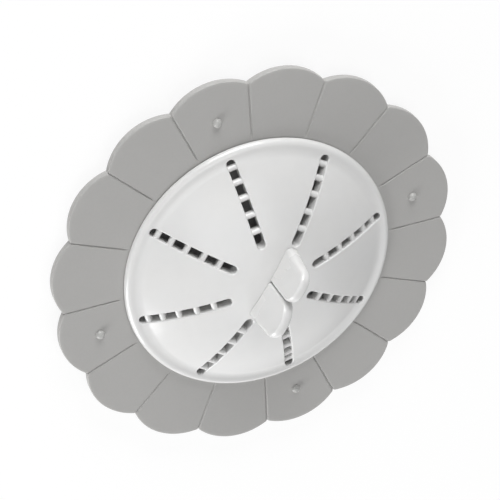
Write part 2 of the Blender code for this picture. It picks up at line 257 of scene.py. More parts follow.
def white_plastic():
    """Satin white moulded plastic."""
    made, bench, place = new_finish("satin_white_plastic")
    cloud = noise(bench, place, 55.0, 3.0)
    drift = noise(bench, place, 240.0, 4.0, 0.6)
    grain = noise(bench, place, 3200.0, 2.0, 0.6)
    pits = noise(bench, place, 900.0, 2.0)
    painted_shade = attribute(bench, "painted_shade")
    cool_to_warm = bench.mix((cloud * 1.6 - 0.3).eased(), COOL_WHITE, WARM_WHITE)
    fleck = bench.mix((drift * 2 - 0.6).eased() * 0.4, cool_to_warm, FLECK_WHITE)
    # painted shade: the white is mixed towards a darker white in the slots, inside the dome, along the crease
    # and low on the grip
    colour = bench.mix(painted_shade * 0.30, fleck, PAINTED_SHADE_WHITE)
    gloss = 0.19 + 0.08 * cloud + 0.06 * (drift - 0.5) + 0.12 * painted_shade
    relief = grain * 0.5 + pits * 0.5
    constants = {
        "Metallic": 0.0,
        "IOR": 1.58,
        "Subsurface Weight": 0.06,
        "Subsurface Radius": (1.0, 0.95, 0.9),
        "Subsurface Scale": 0.0012,
    }
    finish_surface(bench, constants, {"Base Color": colour, "Roughness": gloss}, (relief, 0.01 * MM))
    return made


WHITE_PLASTIC = white_plastic()
print(WHITE_PLASTIC.name, len(WHITE_PLASTIC.node_tree.nodes), "nodes")

# %% [markdown]
# The grey rubber is soft and matt. Its mould was blasted to a fine, even grain, and the pigment is mixed in
# rather than painted on, so the grey is very slightly uneven. Along the rim of each petal the grey is painted
# a touch lighter, as a painted highlight on the rounded edge, and the rubber is smoother there, where it is
# handled most. The mesh gives that as a number called rim_highlight.

# %% Grey rubber
DEEP_GREY = (0.403, 0.398, 0.389, 1)
LIGHT_GREY = (0.422, 0.417, 0.408, 1)
PIGMENT_GREY = (0.383, 0.379, 0.369, 1)
RIM_HIGHLIGHT_GREY = (0.451, 0.446, 0.435, 1)


def grey_rubber():
    """Matt grey soft rubber."""
    made, bench, place = new_finish("matt_grey_rubber")
    mottle = noise(bench, place, 70.0, 4.0, 0.6)
    speck = noise(bench, place, 1500.0, 2.0, 0.7)
    grain = noise(bench, place, 4200.0, 2.0, 0.65)
    ripple = noise(bench, place, 420.0, 2.0)
    rim_highlight = attribute(bench, "rim_highlight")
    grey = bench.mix((mottle * 2 - 0.5).clamped(), DEEP_GREY, LIGHT_GREY)
    pigment = bench.mix((speck * 3 - 1.2).clamped() * 0.35, grey, PIGMENT_GREY)
    # painted highlight: the grey is lighter along each petal's rounded rim
    colour = bench.mix(rim_highlight * 0.5, pigment, RIM_HIGHLIGHT_GREY)
    gloss = 0.50 + 0.14 * (mottle - 0.5) + 0.10 * (speck - 0.5) - 0.06 * rim_highlight
    relief = grain * 0.55 + speck * 0.25 + ripple * 0.2
    constants = {"Metallic": 0.0, "IOR": 1.48}
    finish_surface(bench, constants, {"Base Color": colour, "Roughness": gloss}, (relief, 0.02 * MM))
    return made


GREY_RUBBER = grey_rubber()
print(GREY_RUBBER.name, len(GREY_RUBBER.node_tree.nodes), "nodes")

# %% [markdown]
# The suction cups are clear vinyl, pale and cloudy. Some of the light goes through, bent a little, and most
# of it scatters back. Fine rings from the lathe that cut their mould run round each cup, and faint streaks
# show how the vinyl flowed. Both lie in the bump, so they show as gloss.

# %% Clear vinyl
CLOUDED_VINYL = (0.50, 0.50, 0.485, 1)
PALE_VINYL = (0.56, 0.56, 0.545, 1)


def clear_vinyl():
    """Pale, slightly cloudy clear vinyl."""
    made, bench, place = new_finish("clear_vinyl")
    haze = noise(bench, place, 160.0, 3.0, 0.6)
    flow = noise(bench, place, 700.0, 3.0, 0.6)
    lathe = attribute(bench, "lathe")
    colour = bench.mix((haze * 2 - 0.5).clamped(), CLOUDED_VINYL, PALE_VINYL)
    gloss = 0.26 + 0.14 * haze + 0.08 * (flow - 0.5)
    rings = bench.maths("SINE", 2 * math.pi * lathe)
    relief = flow * 0.7 + rings * 0.15
    constants = {"Metallic": 0.0, "IOR": 1.5, "Transmission Weight": 0.20}
    finish_surface(bench, constants, {"Base Color": colour, "Roughness": gloss}, (relief, 0.008 * MM))
    return made


CLEAR_VINYL = clear_vinyl()
print(CLEAR_VINYL.name, len(CLEAR_VINYL.node_tree.nodes), "nodes")

# %% [markdown]
# ## Meshes from loops
#
# Nearly every piece here is a stack of closed loops, such as the rings of a turned part or the outlines
# of a slot at growing depth. `Shell` keeps the points and the faces, bridges one loop to the next with
# four-sided faces, and in the end hands over one closed mesh with its faces pointing outwards.

# %% Collect loops into a shell
class Shell:
    """Points and faces of one piece while it is being made."""

    def __init__(self):
        self.points = []
        self.faces = []

    def add(self, points):
        """Adds points and returns their numbers."""
        first = len(self.points)
        self.points.extend(tuple(point) for point in points)
        return list(range(first, len(self.points)))

    def bridge(self, here, there):
        """Joins two closed loops of the same count with four-sided faces."""
        for i in range(len(here)):
            j = (i + 1) % len(here)
            self.faces.append((here[i], here[j], there[j], there[i]))

    def stack(self, loops, closed=False):
        """Bridges each loop to the next, and the last one to the first where the stack is closed."""
        for here, there in zip(loops, loops[1:] + loops[:1] if closed else loops[1:]):
            self.bridge(here, there)

    def cap(self, loops):
        """Closes the first and the last of a stack of flat loops with one face each."""
        self.faces += [tuple(loops[0]), tuple(loops[-1])]

    def fan(self, loop, point):
        """Closes a loop with triangles round one point."""
        middle = self.add([point])[0]
        for i in range(len(loop)):
            self.faces.append((loop[i], loop[(i + 1) % len(loop)], middle))


print("a shell has:", ", ".join(name for name in vars(Shell) if name[0] != "_"))

# %% Finish and measure a mesh
def smooth(mesh, sharp_degrees):
    """Faces pointing outwards, smooth shading and crisp edges."""
    work = bmesh.new()
    work.from_mesh(mesh)
    bmesh.ops.recalc_face_normals(work, faces=work.faces)
    work.to_mesh(mesh)
    work.free()
    mesh.shade_smooth()
    mesh.set_sharp_from_angle(angle=math.radians(sharp_degrees))


def piece_from(shell, name, finish, sharp_degrees=50):
    """Turns a shell into an object with smooth shading, crisp edges and its finish."""
    mesh = bpy.data.meshes.new(name)
    mesh.from_pydata(shell.points, [], shell.faces)
    smooth(mesh, sharp_degrees)
    mesh.materials.append(finish)
    made = bpy.data.objects.new(name, mesh)
    bpy.context.scene.collection.objects.link(made)
    return made


def store(piece, name, values):
    """Keeps one number for each point of a piece, for its finish to read."""
    kept = piece.data.attributes.new(name, "FLOAT", "POINT")
    kept.data.foreach_set("value", np.asarray(values, np.float32))


def coordinates(piece):
    """All of a piece's points as an array."""
    flat = np.zeros(3 * len(piece.data.vertices), np.float32)
    piece.data.vertices.foreach_get("co", flat)
    return flat.reshape(-1, 3).astype(float)


def report(piece):
    """Prints a piece's size and number of triangles."""
    piece.data.calc_loop_triangles()
    low, high = coordinates(piece).min(0), coordinates(piece).max(0)
    print(piece.name, len(piece.data.loop_triangles), "triangles, mm:", np.round(1000 * (high - low), 2))


print("mesh helpers ready")

# %% [markdown]
# A turned part is drawn as half of its section. The section is a short list of corners, each with its own
# rounding, and `rounded` replaces each corner by an arc that touches both of its sides.

# %% Draw and turn a section
def circle(radius, height, count):
    """A level ring of points."""
    turns = [2 * math.pi * i / count for i in range(count)]
    return [(radius * math.cos(turn), radius * math.sin(turn), height) for turn in turns]


def spread(start, end, steps):
    """Evenly spaced values from start to end, both included."""
    return [start + (end - start) * step / steps for step in range(steps + 1)]


def arc_at(corner, before, after, rounding, steps):
    """Points of the arc that rounds one corner."""
    back = (before - corner).normalized()
    ahead = (after - corner).normalized()
    half = back.angle(ahead) / 2
    reach = rounding / math.tan(half)
    centre = corner + (back + ahead).normalized() * rounding / math.sin(half)
    start = corner + back * reach - centre
    sweep = start.angle_signed(corner + ahead * reach - centre)
    return [centre + Matrix.Rotation(-turn, 2) @ start for turn in spread(0, sweep, steps)]


def rounded(corners, steps=4):
    """A path through (radius, height, rounding) corners, with the first and last left as they are."""
    places = [Vector(corner[:2]) for corner in corners]
    path = [places[0]]
    for i in range(1, len(corners) - 1):
        if corners[i][2]:
            path += arc_at(places[i], places[i - 1], places[i + 1], corners[i][2], steps)
        else:
            path.append(places[i])
    return [tuple(place) for place in path + [places[-1]]]


def turn_path(shell, path, count):
    """Adds a ring for each point of a path that stays off the axis, and bridges them."""
    rings = [shell.add(circle(radius, height, count)) for radius, height in path]
    shell.stack(rings)
    return rings


print("section helpers ready")

# %% [markdown]
# ## The petal ring
#
# Sixteen equal arcs make the outline, so the ring's shape is a rule and not a drawing, and Geometry Nodes
# can hold the rule. The mesh that goes in is a plain round blank whose points know where they belong: their
# direction, how far out towards the petal's edge they are, and their height. The tree works out the petal
# outline in each direction, presses a groove along the line between two petals, and bores the holes for
# the stems of the suction cups. A new petal count or groove is then one changed value.

# %% Lay out the ring's section
PETAL_EDGE_ROUNDING = 0.4 * MM
PETAL_FOOT_ROUNDING = 0.35 * MM
BORE_ROUNDING = 0.2 * MM
FACE_STEPS = 20
ROUND_STEPS = 5
COLUMNS_PER_HALF_PETAL = 22
COLUMN_CROWDING = 1.9


def ring_section():
    """Stations round the section, as (reach to the edge, inset from it, way out from the bore, height)."""
    quarter = math.pi / 2
    stations = [(reach, PETAL_EDGE_ROUNDING, BORE_ROUNDING, FLANGE_TOP) for reach in spread(0, 1, FACE_STEPS)]
    for turn in spread(0, quarter, ROUND_STEPS)[1:]:
        inset = PETAL_EDGE_ROUNDING * (1 - math.sin(turn))
        drop = PETAL_EDGE_ROUNDING * (1 - math.cos(turn))
        stations.append((1, inset, 0, FLANGE_TOP - drop))
    stations.append((1, 0, 0, (FLANGE_TOP + FLANGE_BOTTOM) / 2))
    for turn in spread(quarter, 0, ROUND_STEPS):
        inset = PETAL_FOOT_ROUNDING * (1 - math.sin(turn))
        stations.append((1, inset, 0, FLANGE_BOTTOM + PETAL_FOOT_ROUNDING * (1 - math.cos(turn))))
    stations += [(reach, PETAL_FOOT_ROUNDING, COLLAR_WALL, FLANGE_BOTTOM) for reach in (0.7, 0.35, 0.1, 0)]
    collar = [
        (COLLAR_WALL, FLANGE_BOTTOM, 0),
        (COLLAR_WALL, COLLAR_BOTTOM, BORE_ROUNDING),
        (0, COLLAR_BOTTOM, BORE_ROUNDING),
        (0, FLANGE_TOP, BORE_ROUNDING),
        (COLLAR_WALL, FLANGE_TOP, 0),
    ]
    stations += [(0, 0, out, height) for out, height in rounded(collar)[1:-1]]
    return stations[:-1]


def ring_directions():
    """Directions of the columns, crowded towards the lines between the petals."""
    pitch = 2 * math.pi / PETAL_COUNT
    shares = [step / COLUMNS_PER_HALF_PETAL for step in range(COLUMNS_PER_HALF_PETAL)]
    half = [pitch / 2 * share**COLUMN_CROWDING for share in shares]
    from_line = half + [pitch - offset for offset in [pitch / 2] + half[:0:-1]]
    return [pitch * (petal + 0.5) + offset for petal in range(PETAL_COUNT) for offset in from_line]


stations = ring_section()
directions = ring_directions()
print(len(stations), "stations and", len(directions), "columns")

# %% Build the round blank
def marked_ring():
    """A plain round ring whose points carry their direction, reach, inset, way out and height."""
    shell = Shell()
    rows = len(stations)
    places = []
    for reach, inset, out, height in stations:
        inner = COLLAR_BORE + out
        places.append((inner + reach * (TIP_RADIUS - inner) - inset, height))
    loops = []
    for turn in directions:
        loops.append(shell.add([(at * math.cos(turn), at * math.sin(turn), height) for at, height in places]))
    shell.stack(loops, closed=True)
    ring = piece_from(shell, "petal_ring_blank", GREY_RUBBER, 40)
    marks = np.tile(np.array(stations), (len(directions), 1))
    store(ring, "direction", np.repeat(directions, rows))
    for column, name in enumerate(("reach", "inset", "way_out", "height")):
        store(ring, name, marks[:, column])
    return ring


ring_points = marked_ring()
report(ring_points)

# %% Wrap a tree of Geometry Nodes
class Rule(Bench):
    """A Geometry Nodes tree with named inputs, besides the geometry and the material."""

    def __init__(self, name, inputs):
        super().__init__(bpy.data.node_groups.new(name, "GeometryNodeTree"))
        face = self.tree.interface
        face.new_socket(name="Geometry", in_out="INPUT", socket_type="NodeSocketGeometry")
        self.identifiers = {}
        for label, kind in {**inputs, "Material": "NodeSocketMaterial"}.items():
            self.identifiers[label] = face.new_socket(name=label, in_out="INPUT", socket_type=kind).identifier
        face.new_socket(name="Geometry", in_out="OUTPUT", socket_type="NodeSocketGeometry")
        self.given = self.add("NodeGroupInput").outputs

    def size(self, label):
        """One of the tree's inputs, as a Number."""
        return Number(self, self.given[label])

    def stored(self, name):
        """A number that the points carry."""
        node = self.add("GeometryNodeInputNamedAttribute", {"data_type": "FLOAT"}, {"Name": name})
        return Number(self, node.outputs[0])

    def turn_of_copy(self, count):
        """How far round each of a count of copies stands."""
        return 2 * math.pi * Number(self, self.add("GeometryNodeInputIndex").outputs[0]) / count

    def close(self, geometry):
        """Ends the tree in Realize Instances and Set Material."""
        real = self.add("GeometryNodeRealizeInstances", None, {"Geometry": geometry}).outputs[0]
        sockets = {"Geometry": real, "Material": self.given["Material"]}
        self.add("NodeGroupOutput", None, {0: self.add("GeometryNodeSetMaterial", None, sockets).outputs[0]})


print("a rule adds:", ", ".join(name for name in vars(Rule) if name[0] != "_"))

# %% Name the petal tree's inputs
LENGTH = "NodeSocketFloat"
COUNT = "NodeSocketInt"
petal_rule = Rule(
    "petal ring",
    {
        "Petal count": COUNT,
        "Tip radius": LENGTH,
        "Petal arc radius": LENGTH,
        "Bore radius": LENGTH,
        "Groove start": LENGTH,
        "Groove width": LENGTH,
        "Groove depth": LENGTH,
        "Cup count": COUNT,
        "Cup circle radius": LENGTH,
        "Stem hole radius": LENGTH,
    },
)
print("inputs:", ", ".join(petal_rule.identifiers))

# %% Write the petal rule
GROOVE_FADE = 1.6 * MM
GROOVE_POWER = 1.5


def petal_position(rule):
    """Where a marked point belongs: on the petal section, pressed down in the grooves."""
    pitch = 2 * math.pi / rule.size("Petal count")
    direction = rule.stored("direction")
    offset = rule.maths("WRAP", direction, pitch / 2, pitch / -2)
    centre = rule.size("Tip radius") - rule.size("Petal arc radius")
    arc = rule.size("Petal arc radius") - rule.stored("inset")
    across = centre * rule.maths("SINE", offset)
    edge = centre * rule.maths("COSINE", offset) + rule.maths("SQRT", arc * arc - across * across)
    inner = rule.size("Bore radius") + rule.stored("way_out")
    radius = inner + (edge - inner) * rule.stored("reach")
    from_line = (pitch / 2 - rule.maths("ABSOLUTE", offset)) * radius
    across_groove = (from_line / (rule.size("Groove width") / 2)).clamped()
    along_groove = ((radius - rule.size("Groove start")) / GROOVE_FADE).eased()
    height = rule.stored("height")
    on_top = rule.maths("GREATER_THAN", height, FLANGE_TOP - 1.01 * PETAL_EDGE_ROUNDING)
    groove = (1 - across_groove * across_groove) ** GROOVE_POWER * along_groove * on_top
    return rule.vector(
        X=radius * rule.maths("COSINE", direction),
        Y=radius * rule.maths("SINE", direction),
        Z=height - groove * rule.size("Groove depth"),
    )


sockets = {"Geometry": petal_rule.given["Geometry"], "Position": petal_position(petal_rule)}
shaped = petal_rule.add("GeometryNodeSetPosition", None, sockets).outputs[0]
print("petal rule:", len(petal_rule.tree.nodes), "nodes")

# %% Bore the stem holes
DRILL_LENGTH = 8.0 * MM
DRILL_SIDES = 32


def bored(rule, geometry):
    """Cuts an upright hole at each cup's place."""
    count = rule.size("Cup count")
    turn = rule.turn_of_copy(count)
    reach = rule.size("Cup circle radius")
    across, along = reach * rule.maths("COSINE", turn), reach * rule.maths("SINE", turn)
    spot = rule.vector(X=across, Y=along, Z=FLANGE_BOTTOM)
    spots = rule.add("GeometryNodePoints", None, {"Count": count, "Position": spot}).outputs[0]
    sockets = {"Vertices": DRILL_SIDES, "Radius": rule.size("Stem hole radius"), "Depth": DRILL_LENGTH}
    drill = rule.add("GeometryNodeMeshCylinder", None, sockets).outputs["Mesh"]
    drills = rule.add("GeometryNodeInstanceOnPoints", None, {"Points": spots, "Instance": drill}).outputs[0]
    solid = rule.add("GeometryNodeRealizeInstances", None, {"Geometry": drills}).outputs[0]
    cut = rule.add("GeometryNodeMeshBoolean", {"operation": "DIFFERENCE", "solver": "EXACT"})
    rule.tree.links.new(geometry, cut.inputs["Mesh 1"])
    rule.tree.links.new(solid, cut.inputs["Mesh 2"])
    return cut.outputs[0]


petal_rule.close(bored(petal_rule, shaped))
print("petal rule with its holes:", len(petal_rule.tree.nodes), "nodes")

# %% Bake the ring
def baked(piece, rule, values, name):
    """Runs a rule on a piece and returns the result as a plain object, the only one that stays."""
    modifier = piece.modifiers.new("rule", "NODES")
    modifier.node_group = rule.tree
    for label, value in values.items():
        modifier[rule.identifiers[label]] = value
    bpy.context.view_layer.update()
    graph = bpy.context.evaluated_depsgraph_get()
    mesh = bpy.data.meshes.new_from_object(piece.evaluated_get(graph))
    bpy.data.objects.remove(piece, do_unlink=True)
    for mark in [layer.name for layer in mesh.attributes if layer.data_type == "FLOAT"]:
        mesh.attributes.remove(mesh.attributes[mark])
    mesh.name = name
    made = bpy.data.objects.new(name, mesh)
    bpy.context.scene.collection.objects.link(made)
    return made


petal_ring = baked(
    ring_points,
    petal_rule,
    {
        "Petal count": PETAL_COUNT,
        "Tip radius": TIP_RADIUS,
        "Petal arc radius": PETAL_ARC_RADIUS,
        "Bore radius": COLLAR_BORE,
        "Groove start": LIP_RADIUS + 0.6 * MM,
        "Groove width": 0.75 * MM,
        "Groove depth": 0.45 * MM,
        "Cup count": CUP_COUNT,
        "Cup circle radius": CUP_CIRCLE_RADIUS,
        "Stem hole radius": 1.2 * MM,
        "Material": GREY_RUBBER,
    },
    "soft_petal_ring",
)
report(petal_ring)

# %% Shade the ring smooth and mark its rim for a painted highlight
def edge_distance(points):
    """How far each point is inside the petal outline."""
    pitch = 2 * math.pi / PETAL_COUNT
    turn = np.arctan2(points[:, 1], points[:, 0])
    offset = (turn + pitch / 2) % pitch - pitch / 2
    radius = np.hypot(points[:, 0], points[:, 1])
    centre = TIP_RADIUS - PETAL_ARC_RADIUS
    along = radius * np.cos(offset) - centre
    return PETAL_ARC_RADIUS - np.hypot(along, radius * np.sin(offset))


RIM_HIGHLIGHT_WIDTH = 0.9 * MM
smooth(petal_ring.data, 40)
ring_places = coordinates(petal_ring)
rim_highlight = np.clip(1 - edge_distance(ring_places) / RIM_HIGHLIGHT_WIDTH, 0, 1)
store(petal_ring, "rim_highlight", rim_highlight)
print("points on the rim:", int((rim_highlight > 0).sum()), "of", len(rim_highlight))

# %% [markdown]
# ## The suction cups
#
# Each cup is one turned piece of vinyl: a round nub above the ring, a thin stem through it, and a thin
# bell below that presses flat and grips. The nub is a little wider than the hole, which is all that holds
# the cup. The bell's edge thins to half a millimetre, and its hollow is what makes the suction.

# %% Draw a cup's section
NUB_RADIUS = 1.50 * MM
NUB_BASE = FLANGE_TOP + 0.08 * MM
STEM_RADIUS = 0.9 * MM
NECK_RADIUS = 2.6 * MM
NUB_FULLNESS = 0.9
SHOULDER = FLANGE_BOTTOM - 0.1 * MM
BELL_TOP = SHOULDER - 0.5 * MM
CUP_EDGE = 0.5 * MM
CUP_RIM_WIDTH = 0.9 * MM
CUP_HOLLOW = 2.0 * MM
CUP_SEGMENTS = 72
LATHE_PITCH = 0.35 * MM


def cup_path():
    """Section of a cup from just under the nub's top to just beside the hollow's middle."""
    quarter = math.pi / 2
    path = []
    for turn in spread(0, quarter, 12)[1:]:
        out, up = math.sin(turn) ** NUB_FULLNESS, math.cos(turn) ** NUB_FULLNESS
        path.append((NUB_RADIUS * out, NUB_BASE + (NUB_TOP - NUB_BASE) * up))
    stem = [
        (NUB_RADIUS, NUB_BASE, 0),
        (STEM_RADIUS, NUB_BASE, 0.05 * MM),
        (STEM_RADIUS, SHOULDER, 0.1 * MM),
        (NECK_RADIUS, SHOULDER, 0.15 * MM),
        (NECK_RADIUS, BELL_TOP, 0),
    ]
    path += rounded(stem)[1:-1]
    for turn in spread(0, quarter, 16):
        radius = NECK_RADIUS + (CUP_RADIUS - NECK_RADIUS) * math.sin(turn)
        path.append((radius, CUP_EDGE + (BELL_TOP - CUP_EDGE) * math.cos(turn)))
    rim_inside = CUP_RADIUS - CUP_RIM_WIDTH
    foot = [
        (CUP_RADIUS, CUP_EDGE, 0),
        (CUP_RADIUS, 0, 0.15 * MM),
        (rim_inside, 0, 0.1 * MM),
        (rim_inside, CUP_EDGE, 0),
    ]
    path += rounded(foot)[1:-1]
    for turn in spread(quarter, 0, 16)[1:-1]:
        path.append((rim_inside * math.sin(turn), CUP_HOLLOW * math.cos(turn)))
    return path


cup_section = cup_path()
print(len(cup_section), "points in a cup's section")

# %% Turn the four cups
def make_cup(index):
    """One suction cup at its place on the ring."""
    shell = Shell()
    rings = turn_path(shell, cup_section, CUP_SEGMENTS)
    shell.fan(rings[0], (0, 0, NUB_TOP))
    shell.fan(rings[-1], (0, 0, CUP_HOLLOW))
    low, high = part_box(f"suction_cup_{index}")
    centre = (low + high) / 2
    radii = np.hypot(*np.array(shell.points)[:, :2].T)
    shell.points = [(x + centre.x, y + centre.y, z) for x, y, z in shell.points]
    cup = piece_from(shell, f"clear_cup_{index}", CLEAR_VINYL, 40)
    store(cup, "lathe", radii / LATHE_PITCH)
    return cup


cups = [make_cup(index) for index in range(1, CUP_COUNT + 1)]
report(cups[0])

# %% [markdown]
# ## The dome
#
# The dome is a shallow cap of a sphere, 2 mm thick, that ends in a round lip. Cutting slots in a finished
# cap leaves ragged, sharp edges. So the slots come first: in plan, each is drawn as a set of nested
# outlines, the outer ones following a small rounding down into the slot. A triangulation fills the plan
# between the outlines, and every point is then lifted to the height that the sphere, the crease or the lip
# has there. The inside of the dome is made in the same way, and walls join the two.

# %% Find the heights of the dome's skins
CREASE_ROUNDING = 6.0 * MM
SPHERE = Vector((0, DOME_CENTRE))
LIP = Vector((LIP_RADIUS - LIP_ROUNDING, SEAT_HEIGHT + LIP_THICKNESS - LIP_ROUNDING))


def resting_centre(reach_first, reach_second):
    """Centre of the circle that rests on both the sphere and the lip."""
    gap = (LIP - SPHERE).length
    along = (reach_first**2 - reach_second**2 + gap**2) / (2 * gap)
    aside = math.sqrt(reach_first**2 - along**2)
    way = (LIP - SPHERE) / gap
    return SPHERE + way * along + Vector((-way.y, way.x)) * aside


CREASE = resting_centre(DOME_RADIUS + CREASE_ROUNDING, LIP_ROUNDING + CREASE_ROUNDING)
CREASE_START = SPHERE + (CREASE - SPHERE).normalized() * DOME_RADIUS
CREASE_END = LIP + (CREASE - LIP).normalized() * LIP_ROUNDING


def outer_height(radius):
    """Height of the dome's outer skin at each radius, from the crown to the top of the lip."""
    sphere = DOME_CENTRE + np.sqrt(DOME_RADIUS**2 - radius**2)
    crease = CREASE.y - np.sqrt(np.maximum(CREASE_ROUNDING**2 - (radius - CREASE.x) ** 2, 0))
    lip = LIP.y + np.sqrt(np.maximum(LIP_ROUNDING**2 - (radius - LIP.x) ** 2, 0))
    return np.where(radius < CREASE_START.x, sphere, np.where(radius < CREASE_END.x, crease, lip))


def inner_height(radius):
    """Height of the dome's inner skin at each radius."""
    return DOME_CENTRE + np.sqrt((DOME_RADIUS - DOME_WALL) ** 2 - radius**2)


print("crease from radius", round(1000 * CREASE_START.x, 2), "to", round(1000 * CREASE_END.x, 2), "mm")

# %% Draw an opening in plan
def plan_turn(angle):
    """A turn in plan, as a two by two array."""
    return np.array([[math.cos(angle), -math.sin(angle)], [math.sin(angle), math.cos(angle)]])


class Opening:
    """A round-ended opening in plan, along a line from start to end, with its upper and lower roundings."""

    def __init__(self, start, end, half_width, direction, side_steps, end_steps, roundings):
        self.start, self.end, self.half_width = start, end, half_width
        self.turn = plan_turn(direction)
        self.side_steps, self.end_steps = side_steps, end_steps
        self.roundings = roundings

    def outline(self, grown):
        """The outline, grown outwards by a distance, as plan points."""
        reach = self.half_width + grown
        quarter = math.pi / 2
        sides = spread(self.start, self.end, self.side_steps) if self.side_steps else []
        points = [(x, -reach) for x in sides[1:-1]]
        front = spread(-quarter, quarter, self.end_steps)
        points += [(self.end + reach * math.cos(a), reach * math.sin(a)) for a in front]
        points += [(x, reach) for x in sides[-2:0:-1]]
        back = spread(quarter, 3 * quarter, self.end_steps)
        back = back if self.side_steps else back[1:-1]
        points += [(self.start + reach * math.cos(a), reach * math.sin(a)) for a in back]
        return np.array(points) @ self.turn.T

    def distance(self, plan):
        """How far plan points are outside the opening."""
        own = plan @ self.turn
        nearest = np.clip(own[:, 0], self.start, self.end)
        return np.hypot(own[:, 0] - nearest, own[:, 1]) - self.half_width


print("an opening has:", ", ".join(name for name in vars(Opening) if name[0] != "_"))

# %% Place the slots and the holes of the pegs
SLOT_COUNT = 8
SLOT_HALF_WIDTH = 1.45 * MM
SLOT_INNER_END = 14.35 * MM
SLOT_OUTER_END = 43.55 * MM
SLOT_ROUNDING = 0.38 * MM
SLOT_FOOT_ROUNDING = 0.02 * MM
GRIP_DIRECTION = math.radians(135)
TAB_CENTRE = 6.7 * MM
PEG_HOLE_RADIUS = 1.8 * MM
HOLE_ROUNDINGS = (0.1 * MM, 0.1 * MM)
slots = [
    Opening(
        SLOT_INNER_END + SLOT_HALF_WIDTH,
        SLOT_OUTER_END - SLOT_HALF_WIDTH,
        SLOT_HALF_WIDTH,
        2 * math.pi * slot / SLOT_COUNT,
        34,
        12,
        (SLOT_ROUNDING, SLOT_FOOT_ROUNDING),
    )
    for slot in range(SLOT_COUNT)
]
peg_holes = [
    Opening(place, place, PEG_HOLE_RADIUS, GRIP_DIRECTION, 0, 16, HOLE_ROUNDINGS)
    for place in (TAB_CENTRE, -TAB_CENTRE)
]
print(len(slots), "slots,", len(slots[0].outline(0)), "points each;", len(peg_holes), "peg holes")

# %% Fill a skin between its outlines
SUPPORT = 0.1 * MM
MERGE_DISTANCE = 1e-9
UPPER, LOWER = 0, 1


def lifted(plan, height, drop=0.0):
    """Plan points lifted to a skin's height, less a drop."""
    heights = height(np.hypot(plan[:, 0], plan[:, 1])) - drop
    return [(x, y, z) for (x, y), z in zip(plan, heights)]


def clearance(plan, openings, side):
    """How far plan points are from the nearest opening's outermost outline, on one side of the wall."""
    return np.min([opening.distance(plan) - opening.roundings[side] - SUPPORT for opening in openings], 0)


def filling_points(outer_radius, spacing, openings, side):
    """Plan points on staggered rings, clear of every outline."""
    rings = [np.zeros((1, 2))]
    for step in range(1, int(outer_radius / spacing)):
        radius = outer_radius - step * spacing
        count = max(6, int(2 * math.pi * radius / spacing))
        turns = 2 * math.pi * (np.arange(count) + 0.5 * (step % 2)) / count
        rings.append(np.stack([radius * np.cos(turns), radius * np.sin(turns)], 1))
    plan = np.concatenate(rings)
    return plan[clearance(plan, openings, side) > 0.5 * spacing]


def fill_skin(shell, boundary, loops, openings, side, plan, height):
    """Triangulates the plan between a boundary and the openings, and lifts it to a skin's height."""
    inside = shell.add(lifted(plan, height))
    used = [number for loop in [boundary, *loops] for number in loop] + inside
    edges = []
    first = 0
    for loop in [boundary, *loops]:
        edges += [(first + i, first + (i + 1) % len(loop)) for i in range(len(loop))]
        first += len(loop)
    flat = [Vector(shell.points[number][:2]) for number in used]
    places, _, faces, sources, _, _ = delaunay_2d_cdt(flat, edges, [], 1, MERGE_DISTANCE, True)
    middles = np.array([np.mean([places[corner] for corner in face], 0) for face in faces])
    kept = clearance(middles, openings, side) > 0
    for face, keep in zip(faces, kept):
        if keep:
            shell.faces.append(tuple(used[sources[corner][0]] for corner in face))
    return int(kept.sum())


print("skin helpers ready")

# %% Line each opening
WALL_SHARES = (0.08, 0.5, 0.92)


def line_opening(shell, opening, top, foot):
    """The rounded edge, wall and lower edge of one opening. Returns its outermost loops above and below."""
    quarter = math.pi / 2
    top_rounding, foot_rounding = opening.roundings
    loops = [lifted(opening.outline(top_rounding + SUPPORT), top)]
    for turn in spread(0, quarter, 5):
        plan = opening.outline(top_rounding * (1 - math.sin(turn)))
        loops.append(lifted(plan, top, top_rounding * (1 - math.cos(turn))))
    upper = np.array(loops[-1])
    lower = np.array(lifted(opening.outline(0), foot, -foot_rounding))
    for share in WALL_SHARES:
        loops.append([tuple(point) for point in upper + (lower - upper) * share])
    for turn in spread(quarter, 0, 3):
        plan = opening.outline(foot_rounding * (1 - math.sin(turn)))
        loops.append(lifted(plan, foot, -foot_rounding * (1 - math.cos(turn))))
    loops.append(lifted(opening.outline(foot_rounding + SUPPORT), foot))
    numbered = [shell.add(loop) for loop in loops]
    shell.stack(numbered)
    return numbered[0], numbered[-1]


dome_shell = Shell()
dome_openings = slots + peg_holes
dome_edges = [line_opening(dome_shell, opening, outer_height, inner_height) for opening in dome_openings]
print("openings lined:", len(dome_edges), "with", len(dome_shell.faces), "faces")

# %% Turn the lip and the skirt
DOME_SEGMENTS = 288
SEAT_ROUNDING = 0.2 * MM
LIP_FOOT_ROUNDING = 0.08 * MM


def rim_path():
    """Section of the rim, from the top of the lip, down its side and the skirt, and up inside."""
    skirt_inside = SKIRT_RADIUS - SKIRT_WALL
    path = []
    for turn in spread(math.pi / 2, 0, 12):
        path.append((LIP.x + LIP_ROUNDING * math.cos(turn), LIP.y + LIP_ROUNDING * math.sin(turn)))
    corners = [
        (LIP_RADIUS, LIP.y, 0),
        (LIP_RADIUS, SEAT_HEIGHT, LIP_FOOT_ROUNDING),
        (SKIRT_RADIUS, SEAT_HEIGHT, SEAT_ROUNDING),
        (SKIRT_RADIUS, SKIRT_BOTTOM, SEAT_ROUNDING),
        (skirt_inside, SKIRT_BOTTOM, SEAT_ROUNDING),
        (skirt_inside, float(inner_height(skirt_inside)), 0),
    ]
    return path + rounded(corners)[1:]


rim_rings = turn_path(dome_shell, rim_path(), DOME_SEGMENTS)
print(len(rim_rings), "rings round the lip and the skirt")

# %% Fill the two skins of the dome
SKIN_SPACING = 1.15 * MM
CREASE_RINGS = 12
CREASE_CLEARANCE = 0.05 * MM


